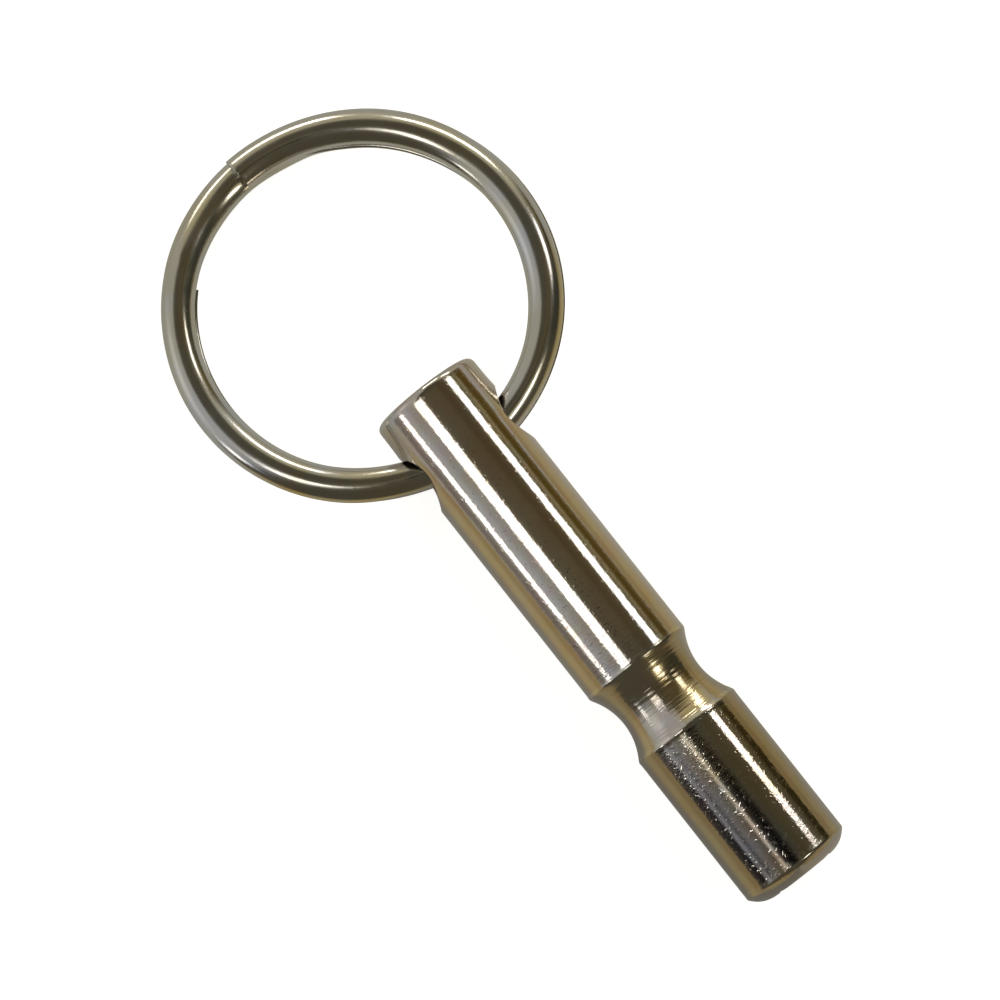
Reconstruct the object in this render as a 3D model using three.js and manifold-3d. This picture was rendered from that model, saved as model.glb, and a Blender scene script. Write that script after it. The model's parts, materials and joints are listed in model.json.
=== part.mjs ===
// Radiator bleed key: a turned steel key with a square socket in one end, and a two-turn split ring
// threaded through the cross hole in the other end.
// Millimetres. +X runs along the key towards its socket and +Z is up. The key lies on z = 0, the ring
// droops from the cross hole until its far edge meets z = 0, and the origin is the bottom centre.
import * as THREE from "three";
import { mergeVertices } from "three/addons/utils/BufferGeometryUtils.js";
import Module from "manifold-3d";

// Key bar
const BAR_RADIUS = 5;
const BAR_SIDES = 48;
const KEY_LENGTH = 50.7;
const RING_END_ROUND = 0.6;
const SOCKET_END_CHAMFER = 0.9;

// Turned groove round the waist, a circular arc in profile
const GROOVE_CENTRE = 31.9;
const GROOVE_RADIUS = 5.6;
const GROOVE_DEPTH = 1;
const GROOVE_STEPS = 8;

// Cross hole for the ring
const HOLE_CENTRE = 6;
const HOLE_RADIUS = 2.6;

// Square socket for a 5 mm vent spindle, broached over a drilled pilot hole
const SOCKET_FLATS = 5.1;
const SOCKET_DEPTH = 9;
const PILOT_RADIUS = 2.75;
const PILOT_DEPTH = 11;
const PILOT_POINT = 1.6;
const SOCKET_LEAD_IN = 0.45;
const CUT_OVERRUN = 1;

// Split ring: flat wire wound in two turns, with a gap between them
const RING_MEAN_RADIUS = 15.57;
const WIRE_WIDTH = 3.1;
const WIRE_THICKNESS = 1.27;
const WIRE_EDGE_RADIUS = 0.5;
const TURN_GAP = 0.06;
const UPPER_END_DEG = 185;
const WIRE_TRAVEL_DEG = 679.6;
const RAMP_START_DEG = 323.6;
const RAMP_DEG = 36.4;
const WIRE_STEPS = 112;
const RING_AXIS = new THREE.Vector3(0, 0, 1);

// How the ring hangs in the cross hole
const RING_SHIFT = 0.2;
const RING_YAW = THREE.MathUtils.degToRad(2.5);
const RING_DROP = 0.1;

const wasm = await Module();
wasm.setup();

function toSolid(geometry) {
  const bare = geometry.clone();
  bare.deleteAttribute("normal");
  bare.deleteAttribute("uv");
  const merged = mergeVertices(bare, 1e-4);
  const mesh = new wasm.Mesh({
    numProp: 3,
    vertProperties: merged.attributes.position.array,
    triVerts: new Uint32Array(merged.index.array),
  });
  return new wasm.Manifold(mesh);
}

function toGeometry(solid) {
  const mesh = solid.getMesh();
  const geometry = new THREE.BufferGeometry();
  geometry.setAttribute("position", new THREE.BufferAttribute(mesh.vertProperties, 3));
  geometry.setIndex(new THREE.BufferAttribute(mesh.triVerts, 1));
  geometry.computeVertexNormals();
  return geometry;
}

// Points of a circular arc in the (radius, length) plane, from one angle to another.
function arc(centreRadius, centreLength, radius, fromDeg, toDeg, steps) {
  const points = [];
  for (let i = 0; i <= steps; i++) {
    const angle = THREE.MathUtils.degToRad(fromDeg + ((toDeg - fromDeg) * i) / steps);
    const r = centreRadius + radius * Math.cos(angle);
    const along = centreLength + radius * Math.sin(angle);
    points.push(new THREE.Vector2(r, along));
  }
  return points;
}

// A solid of revolution along +X whose flats, not its corners, lie at the stated radii.
function turned(profile, sides) {
  const grow = 1 / Math.cos(Math.PI / sides);
  const outline = profile.map((p) => new THREE.Vector2(p.x * grow, p.y));
  const geometry = new THREE.LatheGeometry(outline, sides, Math.PI / sides);
  geometry.rotateZ(-Math.PI / 2);
  return geometry;
}

// The outside of the key: a round-edged ring end, the long land, the groove, the short land and the
// chamfered socket end.
function barProfile() {
  const edgeRadius = BAR_RADIUS - RING_END_ROUND;
  const grooveCentreRadius = BAR_RADIUS - GROOVE_DEPTH + GROOVE_RADIUS;
  const rise = grooveCentreRadius - BAR_RADIUS;
  const halfSweep = THREE.MathUtils.radToDeg(Math.acos(rise / GROOVE_RADIUS));
  return [
    new THREE.Vector2(0, 0),
    ...arc(edgeRadius, RING_END_ROUND, RING_END_ROUND, -90, 0, 3),
    ...arc(
      grooveCentreRadius,
      GROOVE_CENTRE,
      GROOVE_RADIUS,
      180 + halfSweep,
      180 - halfSweep,
      GROOVE_STEPS,
    ),
    new THREE.Vector2(BAR_RADIUS, KEY_LENGTH - SOCKET_END_CHAMFER),
    new THREE.Vector2(BAR_RADIUS - SOCKET_END_CHAMFER, KEY_LENGTH),
    new THREE.Vector2(0, KEY_LENGTH),
  ];
}

// What the drill leaves: a lead-in cone at the mouth, the pilot hole and its pointed bottom.
function pilotProfile() {
  const mouth = PILOT_RADIUS + SOCKET_LEAD_IN;
  return [
    new THREE.Vector2(0, KEY_LENGTH - PILOT_DEPTH - PILOT_POINT),
    new THREE.Vector2(PILOT_RADIUS, KEY_LENGTH - PILOT_DEPTH),
    new THREE.Vector2(PILOT_RADIUS, KEY_LENGTH - SOCKET_LEAD_IN),
    new THREE.Vector2(mouth, KEY_LENGTH),
    new THREE.Vector2(mouth, KEY_LENGTH + CUT_OVERRUN),
    new THREE.Vector2(0, KEY_LENGTH + CUT_OVERRUN),
  ];
}

function squareBroach() {
  const length = SOCKET_DEPTH + CUT_OVERRUN;
  const geometry = new THREE.BoxGeometry(length, SOCKET_FLATS, SOCKET_FLATS);
  geometry.translate(KEY_LENGTH - SOCKET_DEPTH + length / 2, 0, 0);
  return geometry;
}

function crossDrill() {
  const sides = 40;
  const radius = HOLE_RADIUS / Math.cos(Math.PI / sides);
  const length = 2 * (BAR_RADIUS + CUT_OVERRUN);
  const geometry = new THREE.CylinderGeometry(radius, radius, length, sides);
  geometry.translate(HOLE_CENTRE, 0, 0);
  return geometry;
}

function keyBody() {
  const solid = toSolid(turned(barProfile(), BAR_SIDES))
    .subtract(toSolid(crossDrill()))
    .subtract(toSolid(turned(pilotProfile(), 32)))
    .subtract(toSolid(squareBroach()));
  const material = new THREE.MeshStandardMaterial({
    color: 0xa39a88,
    metalness: 1,
    roughness: 0.24,
  });
  const mesh = new THREE.Mesh(toGeometry(solid), material);
  mesh.name = "key_body";
  mesh.position.z = BAR_RADIUS;
  return mesh;
}

// Centre line of the wire: one turn at the upper level, a short ramp down, then the lower turn.
class TwoTurnPath extends THREE.Curve {
  getPoint(t, target = new THREE.Vector3()) {
    const travel = t * WIRE_TRAVEL_DEG;
    const down = THREE.MathUtils.smoothstep(travel, RAMP_START_DEG, RAMP_START_DEG + RAMP_DEG);
    const level = (WIRE_THICKNESS + TURN_GAP) * (0.5 - down);
    const angle = THREE.MathUtils.degToRad(UPPER_END_DEG - travel);
    const x = RING_MEAN_RADIUS * Math.cos(angle);
    const y = RING_MEAN_RADIUS * Math.sin(angle);
    return target.set(x, y, level);
  }

  // The section stays upright all the way: its first axis is always the ring's own axis.
  computeFrenetFrames(segments) {
    const frames = { tangents: [], normals: [], binormals: [] };
    for (let i = 0; i <= segments; i++) {
      const tangent = this.getTangentAt(i / segments);
      const binormal = new THREE.Vector3().crossVectors(tangent, RING_AXIS).normalize();
      const normal = new THREE.Vector3().crossVectors(binormal, tangent);
      frames.tangents.push(tangent);
      frames.normals.push(normal);
      frames.binormals.push(binormal);
    }
    return frames;
  }
}

// The wire's section: a flat strip with round edges. Its first axis is the wire's thickness.
function wireSection() {
  const halfThick = WIRE_THICKNESS / 2;
  const halfWide = WIRE_WIDTH / 2;
  const r = WIRE_EDGE_RADIUS;
  const shape = new THREE.Shape();
  shape.moveTo(halfThick, r - halfWide);
  shape.lineTo(halfThick, halfWide - r);
  shape.absarc(halfThick - r, halfWide - r, r, 0, Math.PI / 2, false);
  shape.absarc(r - halfThick, halfWide - r, r, Math.PI / 2, Math.PI, false);
  shape.absarc(r - halfThick, r - halfWide, r, Math.PI, 1.5 * Math.PI, false);
  shape.absarc(halfThick - r, r - halfWide, r, 1.5 * Math.PI, 2 * Math.PI, false);
  return shape;
}

function splitRing() {
  const geometry = new THREE.ExtrudeGeometry(wireSection(), {
    steps: WIRE_STEPS,
    curveSegments: 2,
    bevelEnabled: false,
    extrudePath: new TwoTurnPath(),
  });
  const material = new THREE.MeshStandardMaterial({
    color: 0x9c9484,
    metalness: 1,
    roughness: 0.22,
  });
  const mesh = new THREE.Mesh(toGeometry(toSolid(geometry)), material);
  mesh.name = "split_ring";
  return mesh;
}

// The droop that lays the ring's far edge on z = 0: reach * sin + rise * cos = fall.
function ringDroop(centreDistance) {
  const reach = centreDistance + RING_MEAN_RADIUS + WIRE_WIDTH / 2 - WIRE_EDGE_RADIUS;
  const rise = WIRE_THICKNESS + TURN_GAP / 2 - WIRE_EDGE_RADIUS;
  const fall = BAR_RADIUS - RING_DROP - WIRE_EDGE_RADIUS;
  return Math.asin(fall / Math.hypot(reach, rise)) - Math.atan2(rise, reach);
}

// The ring hangs from a frame on the cross hole's axis, and swings about that frame's Y.
function hangingRing() {
  const centre = RING_MEAN_RADIUS - RING_SHIFT;
  const back = centre * Math.cos(RING_YAW);
  const aside = centre * Math.sin(RING_YAW);
  const ring = splitRing();
  ring.position.set(-back, aside, -RING_DROP);
  const swing = new THREE.Group();
  swing.position.set(HOLE_CENTRE, 0, BAR_RADIUS);
  swing.rotation.y = -ringDroop(back);
  swing.add(ring);
  return swing;
}

const key = new THREE.Group();
key.add(keyBody());
key.add(hangingRing());

// The origin is the bottom centre of the whole object.
const box = new THREE.Box3().setFromObject(key, true);
const centre = box.getCenter(new THREE.Vector3());
key.position.set(-centre.x, -centre.y, 0);

export default key;
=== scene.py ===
import json
import math

import bpy
import numpy as np
from mathutils import Matrix, Vector


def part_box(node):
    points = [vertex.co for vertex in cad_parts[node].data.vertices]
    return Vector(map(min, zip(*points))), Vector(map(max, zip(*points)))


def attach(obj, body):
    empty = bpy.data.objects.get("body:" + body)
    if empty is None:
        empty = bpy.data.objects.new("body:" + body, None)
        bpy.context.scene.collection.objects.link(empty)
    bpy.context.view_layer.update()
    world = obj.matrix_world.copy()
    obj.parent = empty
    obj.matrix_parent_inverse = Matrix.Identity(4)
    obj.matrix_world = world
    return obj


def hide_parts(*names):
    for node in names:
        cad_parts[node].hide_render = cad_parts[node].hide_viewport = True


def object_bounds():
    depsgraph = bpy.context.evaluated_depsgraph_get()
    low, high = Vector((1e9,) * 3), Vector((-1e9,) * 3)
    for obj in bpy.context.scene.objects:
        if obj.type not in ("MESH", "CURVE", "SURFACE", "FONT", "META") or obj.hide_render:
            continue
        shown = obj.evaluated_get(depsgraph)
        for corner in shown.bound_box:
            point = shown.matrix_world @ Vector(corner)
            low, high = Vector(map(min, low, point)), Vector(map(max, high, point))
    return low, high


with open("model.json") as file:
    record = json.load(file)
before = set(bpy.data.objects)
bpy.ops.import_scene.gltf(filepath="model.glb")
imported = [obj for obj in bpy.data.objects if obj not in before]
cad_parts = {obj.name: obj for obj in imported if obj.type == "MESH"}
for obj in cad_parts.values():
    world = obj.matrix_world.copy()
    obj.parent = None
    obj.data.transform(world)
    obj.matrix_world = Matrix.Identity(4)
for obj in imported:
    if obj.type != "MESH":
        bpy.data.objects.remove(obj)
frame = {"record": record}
cad_low, cad_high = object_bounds()

MM = 0.001
WELD_DECIMALS = 9
joint = frame["record"]["behaviour"]["joints"][0]
hole_axis = Vector(joint["pos_m"])
body_low, body_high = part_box("key_body")
BAR_RADIUS = (body_high.y - body_low.y) / 2 / MM
BAR_Y = (body_low.y + body_high.y) / 2 / MM
BAR_Z = (body_low.z + body_high.z) / 2 / MM
BAR_START = body_low.x / MM
HOLE_CENTRE = hole_axis.x / MM - BAR_START

# Key bar, in millimetres along it from its ring end. STRETCH lengthens it from the cross hole to the
# socket end, and SLIM narrows it, each by well under 1 percent.
AROUND = 192
RING_END_ROUND = 0.6
GROOVE_CENTRE = 31.9
GROOVE_ARC = 5.6
GROOVE_DEPTH = 1.0
GROOVE_ZONE = 3.9
GROOVE_CORNER = 0.05
ARC_LEAST = 0.04
LIP_HEIGHT = 0.03
LIP_PLACE = 3.32
LIP_WIDTH = 0.2
LAND_END = 48.9
HOLE_RADIUS = 2.6
HOLE_EDGE = 0.3
HOLE_SWELL = 0.13
HOLE_SWELL_REACH = 0.9
HOLE_SWELL_FAR_SIDE = 0.45
HOLE_SWELL_FADE = (0.3, 0.75)
STRETCH = 1.0072
SLIM = 0.993

# Rows of the bar's grid: radii of the rings on the ring-end face, then how many rows each stretch has.
# The window is the part of the grid left out for the cross hole, with its own rows and columns.
FACE_RINGS = (0.5, 1.3, 2.2, 3.1, 3.9)
ROUND_EDGE_ROWS = 9
RING_END_ROWS = 5
LONG_LAND_ROWS = 26
GROOVE_ROWS = 92
SHORT_LAND_ROWS = 21
WINDOW_HALF = 3.6
WINDOW_ROWS = 28
WINDOW_COLUMNS = 22
SKIN_ROWS = 8
SKIN_CROWDING = 0.8
HOLE_EDGE_ROWS = 8
HOLE_WALL_ROWS = 10

# Socket end: the outline as (distance, radius) before its corners are softened
END_SOFTENING = 3
END_OUTLINE = np.array(
    [
        (48.9, 5.0),
        (49.2, 5.0),
        (49.42, 5.0),
        (49.52, 4.97),
        (49.66, 4.86),
        (50.0, 4.52),
        (50.2, 4.24),
        (50.38, 3.92),
        (50.52, 3.5),
        (50.6, 3.1),
    ]
)
# Past RIM_RADIUS the rings turn from round to the shape of the mouth, as shares of the way to it, and
# roll over its edge by (distance back, distance outside the mouth).
RIM_RADIUS = 3.78
RIM_MARGIN = 0.08
RIM_SHARES = (0.35, 0.7, 0.9, 1.0)
MOUTH_TURN = ((0.012, 0.045), (0.035, 0.018), (0.07, 0.004))
MOUTH_RADIUS = 3.2
MOUTH_DISTANCE = 50.56

# Down the hole, as depths below the mouth: the square socket, the step at its foot, the pilot hole and
# the cone the drill leaves
SOCKET_HALF = 2.55
SOCKET_DEPTHS = (0.14, 0.25, 0.35, 0.45, 0.55, 0.8, 1.5, 3.0, 5.0, 7.0, 8.6, 8.9, 9.0)
STEP_SHARES = (0.6, 0.25, 0.0)
STEP_DROP = 0.03
PILOT_RADIUS = 2.75
PILOT_DEPTHS = (9.4, 10.2, 10.8, 11.0)
PILOT_POINT = 1.6
POINT_SHARES = (0.1, 0.35, 0.65, 0.85)
PILOT_FOOT = MOUTH_DISTANCE - PILOT_DEPTHS[-1]

# Split ring: the wire's section. Its dome is on top in the upper turn and flips to the underside between
# the two angles of travel.
MEAN_RADIUS = 15.57
WIRE_WIDTH = 3.1
WIRE_THICKNESS = 1.27
CROWN_RADIUS = 1.66
SECTION_CORNER = 0.07
NEARLY_ZERO = 1e-3
FLIP_START_DEG = 364.0
FLIP_END_DEG = 400.0
ROUND_WIRE = 64
WIRE_GIRTH = 8.0

# Its two turns, by the angle travelled from the upper cut end, and the cut ends
TURN_GAP = 0.06
UPPER_END_DEG = 185.0
TRAVEL_DEG = 679.6
RAMP_START_DEG = 323.6
RAMP_DEG = 36.4
ALONG_WIRE = 760
CUT_ROUND = 0.03
CUT_ROWS = 5
CUT_FACE_SHARES = (0.55, 0.2)

# The slight lean of the wire's section, steepest toward one side of the ring
LEAN_DEG = 7.6
LEAN_TOWARD_DEG = 70.0

# How the ring hangs in the cross hole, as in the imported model
RING_SHIFT = 0.2
RING_YAW = math.radians(2.5)
RING_DROP = 0.1
RING_DROOP = math.radians(6.475)

# How far the wire's outer and inner edges wander from true circles, in millimetres, against the angle
# travelled along the wire. They are averaged over a few degrees, but not across the place where the lower
# turn comes out from under the upper cut end.
WANDER_SPREAD_DEG = 7.0
WANDER_SAMPLES = 8
WANDER_BREAK_DEG = 352.0
WANDER_HOLD_DEG = 358.0
WANDER = np.array(
    [
        (0, 0.12, 0.07),
        (14, 0.06, 0.0),
        (34, 0.07, -0.06),
        (49, 0.11, -0.06),
        (64, 0.08, -0.08),
        (79, 0.0, -0.1),
        (99, -0.03, -0.15),
        (119, -0.01, -0.1),
        (134, 0.0, 0.02),
        (149, -0.07, 0.13),
        (159, -0.1, 0.15),
        (186, -0.15, 0.05),
        (212, -0.22, -0.06),
        (224, -0.05, -0.05),
        (239, 0.0, 0.0),
        (264, -0.02, -0.05),
        (284, -0.08, -0.1),
        (299, -0.13, 0.0),
        (314, -0.1, 0.09),
        (329, -0.04, 0.02),
        (339, 0.06, 0.03),
        (349, 0.22, 0.12),
        (356, 0.34, 0.22),
        (364, 0.36, 0.22),
        (374, 0.06, -0.1),
        (384, 0.04, -0.28),
        (430, 0.0, -0.36),
        (450, 0.0, -0.2),
        (479, -0.02, -0.1),
        (510, -0.1, 0.05),
        (572, -0.22, -0.06),
        (600, 0.0, 0.0),
        (644, -0.08, -0.06),
        (680, -0.06, 0.05),
    ]
)


def smooth(x, low, high):
    """Smooth step from 0 at low to 1 at high."""
    t = np.clip((x - low) / (high - low), 0, 1)
    return t * t * (3 - 2 * t)


def soft_min(a, b, k):
    """The lower of two values, with the corner between them rounded over a width k."""
    return -k * np.logaddexp(-a / k, -b / k)


def soften(points, times):
    """A polyline with every corner cut at a quarter of its sides, times over; its two ends stay."""
    for _ in range(times):
        near = 0.75 * points[:-1] + 0.25 * points[1:]
        far = 0.25 * points[:-1] + 0.75 * points[1:]
        inner = np.stack([near, far], 1).reshape(-1, points.shape[1])
        points = np.concatenate([points[:1], inner, points[-1:]])
    return points


def quads(rows, columns, first=0):
    """The quads of a grid numbered row by row from first, whose last column joins its first."""
    i, j = np.meshgrid(np.arange(rows - 1), np.arange(columns), indexing="ij")
    k = (j + 1) % columns
    row, below = i * columns, (i + 1) * columns
    return first + np.stack([row + j, row + k, below + k, below + j], -1).reshape(-1, 4)


def end_fans(rows, columns, pole):
    """Triangles that close a grid's first row on the point numbered pole, and its last row on the point
    after that."""
    here = np.arange(columns)
    after = (here + 1) % columns
    last = (rows - 1) * columns
    first_fan = np.stack([0 * here + pole, after, here], -1)
    last_fan = np.stack([0 * here + pole + 1, last + here, last + after], -1)
    return np.concatenate([first_fan, last_fan])


def weld(points, faces):
    """Points at the same place become one, and the faces follow."""
    rounded = np.round(points, WELD_DECIMALS)
    _, first, back = np.unique(rounded, axis=0, return_index=True, return_inverse=True)
    return points[first], back.reshape(-1)[faces]


def make_piece(name, points, four, three, uv=None):
    """A smooth-shaded mesh object at the origin, from points in metres, quads and triangles."""
    mesh = bpy.data.meshes.new(name)
    corners = np.concatenate([four.ravel(), three.ravel()])
    starts = np.concatenate(
        [np.arange(len(four)) * 4, len(four) * 4 + np.arange(len(three)) * 3]
    )
    mesh.vertices.add(len(points))
    mesh.vertices.foreach_set("co", points.astype(np.float32).ravel())
    mesh.loops.add(len(corners))
    mesh.loops.foreach_set("vertex_index", corners.astype(np.int32))
    mesh.polygons.add(len(starts))
    mesh.polygons.foreach_set("loop_start", starts.astype(np.int32))
    mesh.update(calc_edges=True)
    mesh.validate()
    mesh.polygons.foreach_set("use_smooth", np.ones(len(starts), bool))
    if uv is not None:
        layer = mesh.uv_layers.new(name="along_wire")
        layer.data.foreach_set("uv", uv.astype(np.float32).ravel())
    piece = bpy.data.objects.new(name, mesh)
    bpy.context.scene.collection.objects.link(piece)
    return piece


def hole_swell(along, phi):
    """Metal pushed up beside the hole by the drill: a height that falls off exponentially from the hole's
    edge, on the side of the ring end, at each mouth and lower at the far one."""
    side = np.clip(-(along - HOLE_CENTRE) / HOLE_RADIUS, 0, 1)
    up = BAR_RADIUS * np.sin(phi)
    gap = np.hypot(along - HOLE_CENTRE, up) - HOLE_RADIUS
    across = np.cos(phi)
    mouth = np.where(across > 0, 1.0, HOLE_SWELL_FAR_SIDE) * smooth(np.abs(across), *HOLE_SWELL_FADE)
    return HOLE_SWELL * side * mouth * np.exp(-np.clip(gap, 0, None) / HOLE_SWELL_REACH)


def land_radius(along, phi):
    """Radius of the bar between its ends: the lower of a plain land, with a small bell-shaped lip each side
    of the groove, and the groove's circular arc, with the corner between them rounded, plus the swelling
    beside the hole."""
    off = np.abs(along - GROOVE_CENTRE)
    lip = LIP_HEIGHT * np.exp(-(((off - LIP_PLACE) / LIP_WIDTH) ** 2))
    centre = BAR_RADIUS - GROOVE_DEPTH + GROOVE_ARC
    arc = centre - np.sqrt(np.clip(GROOVE_ARC**2 - off**2, ARC_LEAST, None))
    return soft_min(BAR_RADIUS + lip, arc, GROOVE_CORNER) + hole_swell(along, phi)


def socket_outline(phi):
    """Distance from the axis to a square with its flats facing the four directions."""
    return SOCKET_HALF / np.maximum(np.abs(np.cos(phi)), np.abs(np.sin(phi)))


def bar_rows(phi):
    """Distance along and radius of every ring of points, from the middle of the ring-end face, along the
    outside, over the socket end, and down the socket to the foot of the pilot hole. Also the number of the
    row where the cross hole's window starts."""
    flat = np.ones_like(phi)
    face = [(0.0 * flat, r * flat) for r in FACE_RINGS]
    turn = np.linspace(0, math.pi / 2, ROUND_EDGE_ROWS + 1)
    edge = BAR_RADIUS - RING_END_ROUND
    round_edge = [
        (RING_END_ROUND * (1 - math.cos(a)) * flat, (edge + RING_END_ROUND * math.sin(a)) * flat)
        for a in turn[:-1]
    ]
    low, high = HOLE_CENTRE - WINDOW_HALF, HOLE_CENTRE + WINDOW_HALF
    groove_low, groove_high = GROOVE_CENTRE - GROOVE_ZONE, GROOVE_CENTRE + GROOVE_ZONE
    stations = np.concatenate(
        [
            np.linspace(RING_END_ROUND, low, RING_END_ROWS + 1)[:-1],
            np.linspace(low, high, WINDOW_ROWS + 1),
            np.linspace(high, groove_low, LONG_LAND_ROWS + 2)[1:-1],
            np.linspace(groove_low, groove_high, GROOVE_ROWS),
            np.linspace(groove_high, LAND_END, SHORT_LAND_ROWS + 1)[1:],
        ]
    )
    lands = [(s * flat, land_radius(s * flat, phi)) for s in stations]
    outline = soften(END_OUTLINE, END_SOFTENING)
    end = [(s * flat, r * flat) for s, r in outline[1:] if r > RIM_RADIUS]
    inward = outline[::-1]
    square = socket_outline(phi)
    mouth = np.maximum(MOUTH_RADIUS, square)
    rim = []
    for share in RIM_SHARES:
        r = RIM_RADIUS + (mouth + RIM_MARGIN - RIM_RADIUS) * share
        rim.append((np.interp(r, inward[:, 1], inward[:, 0]), r))
    lip = rim[-1][0]
    rim += [(lip - back, mouth + outside) for back, outside in MOUTH_TURN]
    socket = []
    for depth in SOCKET_DEPTHS:
        cone = max(PILOT_RADIUS, MOUTH_RADIUS - depth)
        socket.append(((MOUTH_DISTANCE - depth) * flat, np.maximum(cone, square)))
    foot, wall = socket[-1]
    step = [
        (foot - STEP_DROP * (1 - k), PILOT_RADIUS + (wall - PILOT_RADIUS) * k) for k in STEP_SHARES
    ]
    pilot = [((MOUTH_DISTANCE - depth) * flat, PILOT_RADIUS * flat) for depth in PILOT_DEPTHS]
    point = [
        ((PILOT_FOOT - PILOT_POINT * k) * flat, PILOT_RADIUS * (1 - k) * flat) for k in POINT_SHARES
    ]
    rows = face + round_edge + lands + end + rim + socket + step + pilot + point
    first_window = len(face) + len(round_edge) + RING_END_ROWS
    return np.array([r[0] for r in rows]), np.array([r[1] for r in rows]), first_window


def place(along, across, up):
    """Points in the frame, in metres, from distances along the bar and offsets from its axis."""
    along = along + (STRETCH - 1) * np.clip(along - HOLE_CENTRE, 0, None)
    return np.stack([BAR_START + along, BAR_Y + across * SLIM, BAR_Z + up * SLIM], -1) * MM


def window_loop():
    """Row and column steps once round the window of the grid that the hole's mouth fills."""
    r, c = WINDOW_ROWS, WINDOW_COLUMNS
    down = np.arange(r)
    across = np.arange(2 * c)
    rows = np.concatenate([r - down, 0 * across, down, 0 * across + r])
    columns = np.concatenate([0 * down + c, c - across, 0 * down - c, across - c])
    return rows, columns


def hole_tunnel(along, radius, phi, first):
    """The cross hole and what surrounds its mouths, as one closed sleeve of rings: from the window's rim
    over the bar's surface to the hole, round its edge on a curve with one control point at the sharp
    corner, and straight through to the other side."""
    rows, columns = window_loop()
    s_rim = along[first + rows, 0]
    phi_rim = columns * 2 * math.pi / AROUND
    beta = np.arctan2(phi_rim * BAR_RADIUS, s_rim - HOLE_CENTRE)
    reach = HOLE_RADIUS + HOLE_EDGE
    s_in = HOLE_CENTRE + reach * np.cos(beta)
    phi_in = np.arcsin(reach * np.sin(beta) / BAR_RADIUS)
    s_edge = HOLE_CENTRE + HOLE_RADIUS * np.cos(beta)
    z_edge = HOLE_RADIUS * np.sin(beta)
    sleeves = []
    walls = []
    for mirror in (1, -1):
        half = AROUND // 2 if mirror < 0 else 0
        spin = (half + mirror * columns) % AROUND
        rim = place(
            s_rim,
            radius[first + rows, spin] * np.cos(phi[spin]),
            radius[first + rows, spin] * np.sin(phi[spin]),
        )
        share = np.linspace(0, 1, SKIN_ROWS + 1)[1:, None] ** SKIN_CROWDING
        s = s_rim * (1 - share) + s_in * share
        p = phi_rim * (1 - share) + phi_in * share
        turned = p if mirror > 0 else math.pi - p
        r = land_radius(s, turned)
        skin = place(s, mirror * r * np.cos(p), r * np.sin(p))
        a = skin[-1]
        rise = np.arcsin(z_edge / BAR_RADIUS)
        r_edge = land_radius(s_edge, rise if mirror > 0 else math.pi - rise)
        y_edge = np.sqrt(r_edge**2 - z_edge**2)
        b = place(s_edge, mirror * y_edge, z_edge)
        c = place(s_edge, mirror * (y_edge - HOLE_EDGE), z_edge)
        k = np.linspace(0, 1, HOLE_EDGE_ROWS + 1)[1:, None, None]
        edge = (1 - k) ** 2 * a + 2 * k * (1 - k) * b + k**2 * c
        sleeves.append(np.concatenate([rim[None], skin, edge]))
        walls.append(c)
    k = np.linspace(0, 1, HOLE_WALL_ROWS + 2)[1:-1, None, None]
    wall = walls[0] * (1 - k) + walls[1] * k
    return np.concatenate([sleeves[0], wall, sleeves[1][::-1]])


def key_bar():
    """The whole bar: a grid of rings round its axis with two windows left out, the hole's sleeve between
    them, and a fan of triangles closing each end of the grid."""
    phi = np.arange(AROUND) * 2 * math.pi / AROUND
    along, radius, first = bar_rows(phi)
    points = place(along, radius * np.cos(phi), radius * np.sin(phi))
    rows = len(points)
    four = quads(rows, AROUND)
    i = np.repeat(np.arange(rows - 1), AROUND)
    j = np.tile(np.arange(AROUND), rows - 1)
    in_rows = (i >= first) & (i < first + WINDOW_ROWS)
    shift = (j + WINDOW_COLUMNS) % (AROUND // 2)
    four = four[~(in_rows & (shift < 2 * WINDOW_COLUMNS))]
    sleeve = hole_tunnel(along, radius, phi, first)
    tunnel = quads(len(sleeve), sleeve.shape[1], rows * AROUND)[:, ::-1]
    ends = place(np.array([0.0, PILOT_FOOT - PILOT_POINT]), np.zeros(2), np.zeros(2))
    everything = np.concatenate([points.reshape(-1, 3), sleeve.reshape(-1, 3), ends])
    three = end_fans(rows, AROUND, len(everything) - 2)
    four = np.concatenate([four, tunnel])
    welded, both = weld(everything, np.concatenate([four.ravel(), three.ravel()]))
    four = both[: four.size].reshape(-1, 4)
    three = both[four.size :].reshape(-1, 3)
    return make_piece("nickel_key_bar", welded, four, three)


def wire_section(dome):
    """Across and up offsets of the wire's skin. It is the part common to a strip and a wide circle, with
    soft corners, so one side is a low dome and the other flat. dome is 1 for dome up, 0 for dome down."""
    q = np.arange(ROUND_WIRE) * 2 * math.pi / ROUND_WIRE
    w = np.arctan2(WIRE_THICKNESS * np.sin(q), WIRE_WIDTH * np.cos(q))
    reach = []
    for flip in (1, -1):
        cos, sin = np.cos(w), flip * np.sin(w)
        middle = WIRE_THICKNESS / 2 - CROWN_RADIUS
        crown = middle * sin + np.sqrt(CROWN_RADIUS**2 - (middle * cos) ** 2)
        side = WIRE_WIDTH / 2 / np.maximum(np.abs(cos), NEARLY_ZERO)
        flat = WIRE_THICKNESS / 2 / np.maximum(-sin, NEARLY_ZERO)
        reach.append(soft_min(soft_min(crown, side, SECTION_CORNER), flat, SECTION_CORNER))
    r = reach[0] * dome + reach[1] * (1 - dome)
    return r * np.cos(w), r * np.sin(w)


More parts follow.
